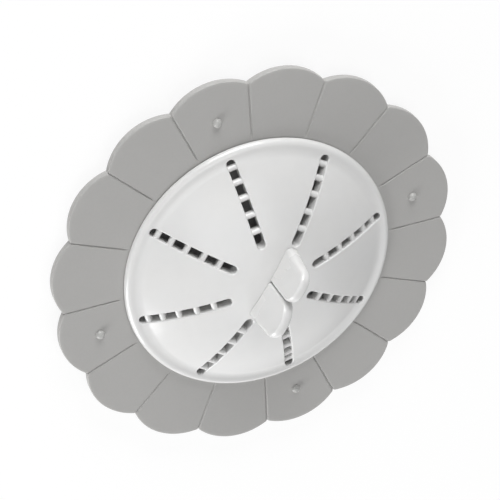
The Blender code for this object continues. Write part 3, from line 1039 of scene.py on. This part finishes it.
def crease_points(openings):
    """Extra plan points on close rings, where the dome curves up into the lip."""
    rings = []
    turns = 2 * math.pi * (np.arange(DOME_SEGMENTS) + 0.5) / DOME_SEGMENTS
    for radius in spread(CREASE_START.x - 0.2 * MM, LIP.x, CREASE_RINGS)[:-1]:
        rings.append(np.stack([radius * np.cos(turns), radius * np.sin(turns)], 1))
    plan = np.concatenate(rings)
    return plan[clearance(plan, openings, UPPER) > CREASE_CLEARANCE]


outer_plan = filling_points(CREASE_START.x, SKIN_SPACING, dome_openings, UPPER)
outer_plan = np.concatenate([outer_plan, crease_points(dome_openings)])
upper_loops = [upper for upper, _ in dome_edges]
outer_faces = fill_skin(dome_shell, rim_rings[0], upper_loops, dome_openings, UPPER, outer_plan, outer_height)
inner_plan = filling_points(SKIRT_RADIUS - SKIRT_WALL, SKIN_SPACING, dome_openings, LOWER)
lower_loops = [lower for _, lower in dome_edges]
inner_faces = fill_skin(
    dome_shell, rim_rings[-1], lower_loops, dome_openings, LOWER, inner_plan, inner_height
)
dome = piece_from(dome_shell, "white_dome", WHITE_PLASTIC)
print("outer skin:", outer_faces, "triangles, inner skin:", inner_faces)
report(dome)

# %% [markdown]
# ## The slot rims and the crossbars
#
# Each slot has a rim under the dome, so that its walls are twice as deep as the dome is thick. Five bars,
# round on top and straight-sided below, bridge each slot and keep long hair from slipping through. All
# forty are one bar repeated by a rule, which is what instances are for. Five points on the first slot's
# line say where its bars go. The tree makes one bar whose ends flare a little, because a mould never
# leaves a sharp inner corner, and sets it on the five points tilted with the dome. Then it turns the five
# bars and the rim round the axis once for each slot.

# %% Make the rim of one slot
RIM_DEPTH = 2.0 * MM
SLOT_RIM_WIDTH = 0.9 * MM
SLOT_RIM_ROUNDING = 0.25 * MM
SLOT_RIM_ROOTING = 0.5 * MM


def slot_rim():
    """A closed band round the first slot, from inside the dome's wall to below it."""
    opening = slots[0]
    behind = 0.02 * MM
    shell = Shell()
    loops = [lifted(opening.outline(behind), inner_height, -SLOT_RIM_ROOTING)]
    for turn in spread(math.pi, 2 * math.pi, 8):
        near_slot = turn < 1.5 * math.pi
        middle = behind + SLOT_RIM_ROUNDING if near_slot else SLOT_RIM_WIDTH - SLOT_RIM_ROUNDING
        grown = middle + SLOT_RIM_ROUNDING * math.cos(turn)
        drop = RIM_DEPTH - SLOT_RIM_ROUNDING * (1 + math.sin(turn))
        loops.append(lifted(opening.outline(grown), inner_height, drop))
    loops.append(lifted(opening.outline(SLOT_RIM_WIDTH), inner_height, -SLOT_RIM_ROOTING))
    shell.stack([shell.add(loop) for loop in loops], closed=True)
    return piece_from(shell, "slot_rim", WHITE_PLASTIC)


rim_of_one_slot = slot_rim()
report(rim_of_one_slot)

# %% Mark the bars of one slot
BAR_RADIUS = 1.05 * MM
BAR_SINK = 0.3 * MM
BAR_ROOTING = 0.3 * MM
BAR_DROP = 1.2 * MM
BAR_SHARES = (0.207, 0.399, 0.592, 0.765, 0.915)


def bar_points():
    """Five points on the first slot's line, each knowing the tilt of the dome there."""
    depth = DOME_RADIUS - BAR_SINK - BAR_RADIUS
    radii = [SLOT_INNER_END + (SLOT_OUTER_END - SLOT_INNER_END) * share for share in BAR_SHARES]
    tilts = [math.asin(radius / DOME_RADIUS) for radius in radii]
    places = [(depth * math.sin(tilt), 0, DOME_CENTRE + depth * math.cos(tilt)) for tilt in tilts]
    mesh = bpy.data.meshes.new("bar_places")
    mesh.from_pydata(places, [], [])
    made = bpy.data.objects.new("bar_places", mesh)
    bpy.context.scene.collection.objects.link(made)
    store(made, "tilt", tilts)
    return made


bar_places = bar_points()
print("bars at radii, mm:", np.round(1000 * coordinates(bar_places)[:, 0], 1))

# %% Name the bar tree's inputs
bar_rule = Rule(
    "slot crossbars",
    {
        "Slot count": COUNT,
        "Slot rim": "NodeSocketObject",
        "Bar radius": LENGTH,
        "Bar half length": LENGTH,
        "Bar drop": LENGTH,
        "Flare": LENGTH,
        "Flare length": LENGTH,
    },
)
print("inputs:", ", ".join(bar_rule.identifiers))

# %% Write the bar rule
BAR_SIDES = 20
BAR_STEPS = 14


def flared_bar(rule):
    """One bar lying along Y, its lower half drawn down, a little thicker where it meets the slot's walls."""
    half_length = rule.size("Bar half length")
    sockets = {
        "Vertices": BAR_SIDES,
        "Side Segments": BAR_STEPS,
        "Radius": rule.size("Bar radius"),
        "Depth": half_length * 2,
    }
    blank = rule.add("GeometryNodeMeshCylinder", None, sockets).outputs["Mesh"]
    position = rule.add("GeometryNodeInputPosition").outputs[0]
    apart = rule.add("ShaderNodeSeparateXYZ", None, {0: position})
    across, up, along = (Number(rule, apart.outputs[side]) for side in "XYZ")
    near_end = 1 - (half_length - rule.maths("ABSOLUTE", along)) / rule.size("Flare length")
    swell = 1 + near_end.clamped() ** 2 * rule.size("Flare") / rule.size("Bar radius")
    below = rule.maths("LESS_THAN", up, -0.01 * MM)
    laid = rule.vector(X=across * swell, Y=along, Z=up * swell - below * rule.size("Bar drop"))
    return rule.add("GeometryNodeSetPosition", None, {"Geometry": blank, "Position": laid}).outputs[0]


def instanced(rule, points, instance, turn):
    """Instances on points, turned by a vector of angles."""
    rotation = rule.add("FunctionNodeEulerToRotation", None, {0: turn}).outputs[0]
    sockets = {"Points": points, "Instance": instance, "Rotation": rotation}
    return rule.add("GeometryNodeInstanceOnPoints", None, sockets).outputs[0]


tilted = bar_rule.vector(Y=bar_rule.stored("tilt"))
one_slot = instanced(bar_rule, bar_rule.given["Geometry"], flared_bar(bar_rule), tilted)
turned = bar_rule.vector(Z=bar_rule.turn_of_copy(bar_rule.size("Slot count")))
hub = bar_rule.add("GeometryNodePoints", None, {"Count": bar_rule.size("Slot count")}).outputs[0]
rim_info = bar_rule.add("GeometryNodeObjectInfo", None, {"Object": bar_rule.given["Slot rim"]})
together = bar_rule.add("GeometryNodeJoinGeometry")
for instance in (one_slot, rim_info.outputs["Geometry"]):
    bar_rule.tree.links.new(instanced(bar_rule, hub, instance, turned), together.inputs[0])
bar_rule.close(together.outputs[0])
print("bar rule:", len(bar_rule.tree.nodes), "nodes")

# %% Bake the bars and join them to the dome
bars = baked(
    bar_places,
    bar_rule,
    {
        "Slot count": SLOT_COUNT,
        "Slot rim": rim_of_one_slot,
        "Bar radius": BAR_RADIUS,
        "Bar half length": SLOT_HALF_WIDTH + BAR_ROOTING,
        "Bar drop": BAR_DROP,
        "Flare": 0.22 * MM,
        "Flare length": 0.75 * MM,
        "Material": WHITE_PLASTIC,
    },
    "slot_crossbars",
)
report(bars)
smooth(bars.data, 50)
work = bmesh.new()
work.from_mesh(dome.data)
work.from_mesh(bars.data)
work.to_mesh(dome.data)
work.free()
bpy.data.objects.remove(bars, do_unlink=True)
bpy.data.objects.remove(rim_of_one_slot, do_unlink=True)
report(dome)

# %% Mark where shade is painted on the dome
CREASE_SHADE_WIDTH = 0.6 * MM
SLOT_PAINTED_SHADE = 0.8
CREASE_PAINTED_SHADE = 0.25


def dome_painted_shade(points):
    """Painted shade: 0 on the open dome, more in the slots and inside the dome, and a little along the
    crease.
    """
    radius = np.hypot(points[:, 0], points[:, 1])
    depth = outer_height(np.minimum(radius, LIP.x)) - points[:, 2]
    sunk = np.clip(depth / DOME_WALL, 0, 1)
    crease = np.exp(-(((radius - CREASE.x) / CREASE_SHADE_WIDTH) ** 2)) * (depth < 0.1 * MM)
    # painted shade: strongest deep in the slots and inside the dome, lighter along the crease, none on the
    # lip
    return np.where(radius < LIP.x, np.maximum(SLOT_PAINTED_SHADE * sunk, CREASE_PAINTED_SHADE * crease), 0)


painted_shade = dome_painted_shade(coordinates(dome))
store(dome, "painted_shade", painted_shade)
print("sheltered share of the dome's points:", round(float((painted_shade > 0.5).mean()), 2))

# %% [markdown]
# ## The washer
#
# Under the crown a round washer lies against the inside of the dome, and the grip's pegs come through it.
# Its top follows the dome and its underside is flat. The same outlines and skins as for the dome make it.

# %% Make the washer
WASHER_RADIUS = washer_high.x
WASHER_EDGE_WIDTH = 0.6 * MM
WASHER_EDGE_ROUNDING = 0.3 * MM
WASHER_SPACING = 0.8 * MM
WASHER_PAINTED_SHADE = 0.35


def washer_top(radius):
    """Height of the washer's domed top."""
    return DOME_CENTRE + np.sqrt((DOME_RADIUS - DOME_WALL - PART_GAP) ** 2 - radius**2)


def washer_foot(radius):
    """Height of the washer's flat underside."""
    return WASHER_BOTTOM + 0 * radius


washer_shell = Shell()
washer_edges = [line_opening(washer_shell, hole, washer_top, washer_foot) for hole in peg_holes]
face_radius = WASHER_RADIUS - WASHER_EDGE_WIDTH
washer_corners = [
    (face_radius, float(washer_top(face_radius)), 0),
    (WASHER_RADIUS, float(washer_top(WASHER_RADIUS)), WASHER_EDGE_ROUNDING),
    (WASHER_RADIUS, WASHER_BOTTOM, WASHER_EDGE_ROUNDING),
    (face_radius, WASHER_BOTTOM, 0),
]
washer_rings = turn_path(washer_shell, rounded(washer_corners, 5), 96)
for side, height in ((UPPER, washer_top), (LOWER, washer_foot)):
    plan = filling_points(face_radius, WASHER_SPACING, peg_holes, side)
    loops = [edge[side] for edge in washer_edges]
    fill_skin(washer_shell, washer_rings[-side], loops, peg_holes, side, plan, height)
washer = piece_from(washer_shell, "white_washer", WHITE_PLASTIC)
# painted shade: the washer under the dome is darkened evenly
store(washer, "painted_shade", WASHER_PAINTED_SHADE + 0 * coordinates(washer)[:, 0])
report(washer)

# %% [markdown]
# ## The grip
#
# Two flat tabs stand on the crown, one beside the other, and lean a few degrees apart, so that a finger
# and a thumb can take hold. Each tab is a stack of the same outline through its thickness. The outline
# shrinks towards both faces along a quarter circle, which is the large soft rounding that shows as a bright
# edge. It is softer along the top of the front than of the back, and at the notch it is small, so that the
# two tabs nearly touch. The tabs aren't quite alike: the notch stands a millimetre off the middle and leans,
# and the tab on side -1 is a little longer and leans further back. A little bridge joins the two at the
# foot, and two pegs go down through the dome to heads under the washer.

# %% Draw a tab's outline
NOTCH_FOOT_PLACE = -0.85 * MM
NOTCH_TOP_PLACE = -1.35 * MM
NOTCH_HALF_WIDTH = 0.02 * MM
NOTCH_TOP_HALF_WIDTH = 0.14 * MM
NOTCH_EDGE_SHARE = 0.45
TAB_BASE_ENDS = {1: 13.1 * MM, -1: 13.8 * MM}
TAB_TOP_ENDS = {1: 12.0 * MM, -1: 12.8 * MM}
TAB_OUTER_CORNER = 5.0 * MM
TAB_NOTCH_CORNERS = {1: 7.2 * MM, -1: 4.9 * MM}
TAB_FOOT_ROUNDING = 0.25 * MM
TAB_FOOT_GAP = 0.12 * MM
GRIP_FOOT = CROWN_HEIGHT + PART_GAP


def between(base, top, height):
    """A size that changes evenly from the foot of a tab to its top."""
    return base + (top - base) * (height - GRIP_FOOT) / (GRIP_TOP - GRIP_FOOT)


def tab_loop(side, inset, foot_lift, top_share):
    """Outline of a tab shrunk by an inset, in the plane of the tab, as (out from the notch, up) points."""
    top = GRIP_TOP - inset * top_share
    notch_inset = inset * NOTCH_EDGE_SHARE

    def outer(height):
        return between(TAB_BASE_ENDS[side], TAB_TOP_ENDS[side], height) - inset

    def inner(height):
        half = between(NOTCH_HALF_WIDTH, NOTCH_TOP_HALF_WIDTH, height)
        return side * between(NOTCH_FOOT_PLACE, NOTCH_TOP_PLACE, height) + half + notch_inset

    def foot_height(out):
        return float(outer_height(np.abs(out))) + TAB_FOOT_GAP + foot_lift

    near = inner(GRIP_FOOT)
    far = outer(GRIP_FOOT)
    middle = (near + far) / 2
    corners = [
        (middle, foot_height(middle), 0),
        (far, foot_height(far), TAB_FOOT_ROUNDING),
        (outer(top), top, TAB_OUTER_CORNER - inset),
        (inner(top), top, TAB_NOTCH_CORNERS[side] - notch_inset),
        (near, foot_height(near), TAB_FOOT_ROUNDING),
        (middle, foot_height(middle), 0),
    ]
    return rounded(corners, 10)[:-1]


print("points in a tab's outline:", len(tab_loop(1, 0, 0, 1)))

# %% Slice a tab through its thickness
TAB_BASE_THICKNESS = 5.0 * MM
TAB_FRONT_ROUNDING = 2.2 * MM
TAB_BACK_ROUNDING = 2.0 * MM
FRONT_TOP_SHARE = 0.75
BACK_TOP_SHARE = 0.35
FACE_MARGIN = 0.2 * MM


def tab_slices():
    """Stations through the thickness at the foot, from the back, as (place, inset, foot lift, top share)."""
    slices = []
    thick = TAB_BASE_THICKNESS / 2
    edge = thick - TAB_FOOT_ROUNDING
    for way, rounding, share in (
        (-1, TAB_BACK_ROUNDING, BACK_TOP_SHARE),
        (1, TAB_FRONT_ROUNDING, FRONT_TOP_SHARE),
    ):
        half = []
        for degrees in (0, 10, 20, 30, 40, 50, 60, 68, 76, 83, 90):
            turn = math.radians(degrees)
            place = thick - rounding * (1 - math.sin(turn))
            over = max(place - edge, 0)
            lift = TAB_FOOT_ROUNDING - math.sqrt(max(TAB_FOOT_ROUNDING**2 - over**2, 0))
            half.append((way * place, rounding * (1 - math.cos(turn)), lift, share))
        half.append((way * thick, rounding + FACE_MARGIN, TAB_FOOT_ROUNDING + FACE_MARGIN, share))
        slices += half[::way]
    return slices


print("slices in a tab:", len(tab_slices()))

# %% Stack the slices into a tab
TAB_TOP_THICKNESS = 3.7 * MM
TAB_LEANS = {1: -0.002, -1: -0.080}


def stand(points):
    """Turns points from the tab's plane to the grip's direction."""
    return [Matrix.Rotation(GRIP_DIRECTION, 3, "Z") @ Vector(point) for point in points]


def add_tab(shell, side):
    """One tab, thinner towards its top and leaning to its own side."""
    loops = []
    for place, inset, lift, share in tab_slices():
        points = []
        for out, up in tab_loop(side, inset, lift, share):
            thinning = between(1, TAB_TOP_THICKNESS / TAB_BASE_THICKNESS, up)
            aside = place * thinning + TAB_LEANS[side] * (up - CROWN_HEIGHT)
            points.append((side * out, aside, up))
        loops.append(shell.add(stand(points)))
    shell.stack(loops)
    shell.cap(loops)


lean_apart = math.degrees(math.atan(TAB_LEANS[1]) - math.atan(TAB_LEANS[-1]))
print("the tabs lean apart by, degrees:", round(lean_apart, 1))

# %% Join the tabs by a bridge
BRIDGE_HEIGHT = 0.8 * MM
BRIDGE_THICKNESS = 2.2 * MM
BRIDGE_HALF_LENGTH = 2.0 * MM
BRIDGE_ROUNDING = 0.45 * MM
BRIDGE_FOOT_ROUNDING = 0.1 * MM


def add_bridge(shell):
    """The low bridge between the tabs."""
    foot = CROWN_HEIGHT + TAB_FOOT_GAP
    top = GRIP_FOOT + BRIDGE_HEIGHT
    half = BRIDGE_THICKNESS / 2
    corners = [
        (0, foot, 0),
        (half, foot, BRIDGE_FOOT_ROUNDING),
        (half, top, BRIDGE_ROUNDING),
        (-half, top, BRIDGE_ROUNDING),
        (-half, foot, BRIDGE_FOOT_ROUNDING),
        (0, foot, 0),
    ]
    section = rounded(corners, 6)[:-1]
    loops = [
        shell.add(stand([(along, aside, up) for aside, up in section]))
        for along in spread(-BRIDGE_HALF_LENGTH, BRIDGE_HALF_LENGTH, 6)
    ]
    shell.stack(loops)
    shell.cap(loops)


grip_shell = Shell()
add_bridge(grip_shell)
print("faces of the bridge:", len(grip_shell.faces))

# %% Add the tabs and the pegs
PEG_RADIUS = 1.5 * MM
PEG_ROOT = CROWN_HEIGHT + 2.0 * MM
PEG_CAP_RADIUS = 0.3 * MM
PEG_HEAD_RADIUS = 2.4 * MM
PEG_HEAD_ROUNDING = 0.55 * MM
GRIP_SHADE_HEIGHT = 0.8 * MM
GRIP_PAINTED_SHADE = 0.6


def add_peg(shell, place):
    """One peg with its formed head under the washer."""
    head_top = WASHER_BOTTOM - PART_GAP / 2
    corners = [
        (PEG_CAP_RADIUS, PEG_ROOT, 0),
        (PEG_RADIUS, PEG_ROOT, 0.1 * MM),
        (PEG_RADIUS, head_top, 0.05 * MM),
        (PEG_HEAD_RADIUS, head_top, 0.15 * MM),
        (PEG_HEAD_RADIUS, grip_low.z, PEG_HEAD_ROUNDING),
        (PEG_CAP_RADIUS, grip_low.z, 0),
    ]
    first = len(shell.points)
    rings = turn_path(shell, rounded(corners, 5), 48)
    shell.cap(rings)
    shell.points[first:] = stand([(x + place, y, z) for x, y, z in shell.points[first:]])


for side in (1, -1):
    add_tab(grip_shell, side)
    add_peg(grip_shell, side * TAB_CENTRE)
grip = piece_from(grip_shell, "white_grip", WHITE_PLASTIC)
grip_heights = coordinates(grip)[:, 2]
# painted shade: the grip's white darker near its foot on the crown, fading out by GRIP_SHADE_HEIGHT
low_down = 1 - (grip_heights - CROWN_HEIGHT) / GRIP_SHADE_HEIGHT
store(grip, "painted_shade", np.clip(low_down, 0, GRIP_PAINTED_SHADE))
report(grip)

# %% [markdown]
# ## What moves with what
#
# The ring and its cups stay on the floor of the tub. The dome, the washer and the grip lift off together.
# Each new piece hides the plain one that it stands for.

# %% Put the pieces on their bodies
for piece, body, node, slot in (
    (petal_ring, "flange_on_cups", "petal_flange", "grey_rubber"),
    (dome, "strainer", "dome_grille", "white_plastic"),
    (washer, "strainer", "grip_washer", "white_plastic"),
    (grip, "strainer", "lift_grip", "white_plastic"),
):
    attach(piece, body)
    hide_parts(node)
for index, cup in enumerate(cups, 1):
    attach(cup, "flange_on_cups")
    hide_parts(f"suction_cup_{index}")
print("pieces placed:", 4 + len(cups))

# %% [markdown]
# ## The floor
#
# The floor is a pale sheet. To the camera it glows at a strength of about 1, which is white, and
# under that it is an ordinary matt floor that takes the object's shadow. Directly under the dome it doesn't
# glow, and its colour there is painted a darker grey as painted shade, so that the slots open onto shade. Its
# lower face is clear, so that the underside shows from below.

# %% Lay the floor
FLOOR_HALF = 3.0
SHADE_RADIUS = 45 * MM
SHADE_SOFTNESS = 12 * MM
FLOOR_PALE = (0.92, 0.92, 0.92, 1)
FLOOR_SHADE = (0.55, 0.55, 0.55, 1)
GLOW_WHITE = (1, 1, 1, 1)
GLOW_STRENGTH = 1.04
GLOW_SHARE = 0.85
FLOOR_DROP = 0.02 * MM


def floor_finish():
    """A pale matt floor that shows white to the camera away from the object, with painted shade under the
    dome.
    """
    made, bench, place = new_finish("pale_floor")
    apart = bench.add("ShaderNodeSeparateXYZ", None, {0: place})
    x, y = Number(bench, apart.outputs["X"]), Number(bench, apart.outputs["Y"])
    outside = ((bench.maths("SQRT", x * x + y * y) - SHADE_RADIUS) / SHADE_SOFTNESS).eased()
    # painted shade: the floor's colour turns a darker grey under the dome
    under = bench.mix(outside, FLOOR_SHADE, FLOOR_PALE)
    matt = bench.add("ShaderNodeBsdfDiffuse", None, {"Color": under})
    glow = bench.add("ShaderNodeEmission", None, {"Color": GLOW_WHITE, "Strength": GLOW_STRENGTH})
    share = bench.seen_rays() * outside * GLOW_SHARE
    above = bench.add("ShaderNodeMixShader", None, {0: share, 1: matt.outputs[0], 2: glow.outputs[0]})
    from_below = bench.add("ShaderNodeNewGeometry").outputs["Backfacing"]
    clear = bench.add("ShaderNodeBsdfTransparent")
    sheet = bench.add("ShaderNodeMixShader", None, {0: from_below, 1: above.outputs[0], 2: clear.outputs[0]})
    bench.add("ShaderNodeOutputMaterial", None, {"Surface": sheet.outputs[0]})
    return made


floor_corners = [(x * FLOOR_HALF, y * FLOOR_HALF, 0) for x, y in ((-1, -1), (1, -1), (1, 1), (-1, 1))]
floor_mesh = bpy.data.meshes.new("floor")
floor_mesh.from_pydata(floor_corners, [], [(0, 1, 2, 3)])
floor_mesh.materials.append(floor_finish())
floor = bpy.data.objects.new("floor", floor_mesh)
bpy.context.scene.collection.objects.link(floor)
floor.location.z = -FLOOR_DROP
print("floor laid:", 2 * FLOOR_HALF, "m wide")

# %% [markdown]
# ## Light and camera
#
# The light is a plain studio tent: an even glow from all round, and a few large soft panels. A panel's
# strength is given as the share of white that it would lend to a matt white face turned straight to it. On
# a level face, the panels and the glow together come to about 1, so that each colour renders about as it is
# written.

# %% Hang the lights
PANEL_DISTANCE = 0.9


def soft_panel(name, around, above, width, share):
    """A square light facing the object, so many degrees round from +X and above the floor."""
    turn, rise = math.radians(around), math.radians(above)
    way = Vector((math.cos(turn) * math.cos(rise), math.sin(turn) * math.cos(rise), math.sin(rise)))
    light = bpy.data.lights.new(name, "AREA")
    light.size = width
    light.energy = share * math.pi**2 * PANEL_DISTANCE**2
    made = bpy.data.objects.new(name, light)
    bpy.context.scene.collection.objects.link(made)
    made.location = way * PANEL_DISTANCE
    made.rotation_euler = way.to_track_quat("Z", "Y").to_euler()
    return made


def tent(strength):
    """The even glow all round, which the camera and clear or glossy surfaces see as white."""
    world = bpy.data.worlds.new("tent")
    world.use_nodes = True
    bench = Bench(world.node_tree)
    level = strength + (1 - strength) * bench.seen_rays()
    glow = bench.add("ShaderNodeBackground", None, {"Color": GLOW_WHITE, "Strength": level})
    bench.add("ShaderNodeOutputWorld", None, {"Surface": glow.outputs[0]})
    bpy.context.scene.world = world


tent(0.09)
soft_panel("front_panel", 345, 14, 0.55, 0.98)
soft_panel("left_panel", 121, 14, 0.55, 0.87)
soft_panel("back_panel", 172, 34, 1.30, 0.40)
soft_panel("top_panel", 0, 90, 0.60, 0.23)

# %% Set the camera
CAMERA_PLACE = Vector((0.31904, 0.08806, 0.41760))
CAMERA_AIM = Vector((0.006797, 0.001481, 0.0065))
CAMERA_ROLL = math.radians(143.978)
CAMERA_LENS = 115.947


def set_camera():
    """A long lens at the photograph's angle, rolled as the photograph is."""
    back = (CAMERA_PLACE - CAMERA_AIM).normalized()
    level_up = (Vector((0, 0, 1)) - back * back.z).normalized()
    level_right = level_up.cross(back)
    up = level_up * math.cos(CAMERA_ROLL) - level_right * math.sin(CAMERA_ROLL)
    right = up.cross(back)
    lens = bpy.data.cameras.new("camera")
    lens.lens = CAMERA_LENS
    lens.sensor_width = 36.0
    lens.clip_start = 0.01
    camera = bpy.data.objects.new("camera", lens)
    bpy.context.scene.collection.objects.link(camera)
    turn = Matrix((right, up, back)).transposed().to_4x4()
    camera.matrix_world = Matrix.Translation(CAMERA_PLACE) @ turn
    bpy.context.scene.camera = camera


set_camera()
bpy.context.scene.view_settings.view_transform = "Standard"
print("camera distance, mm:", round(1000 * (CAMERA_PLACE - CAMERA_AIM).length, 1))
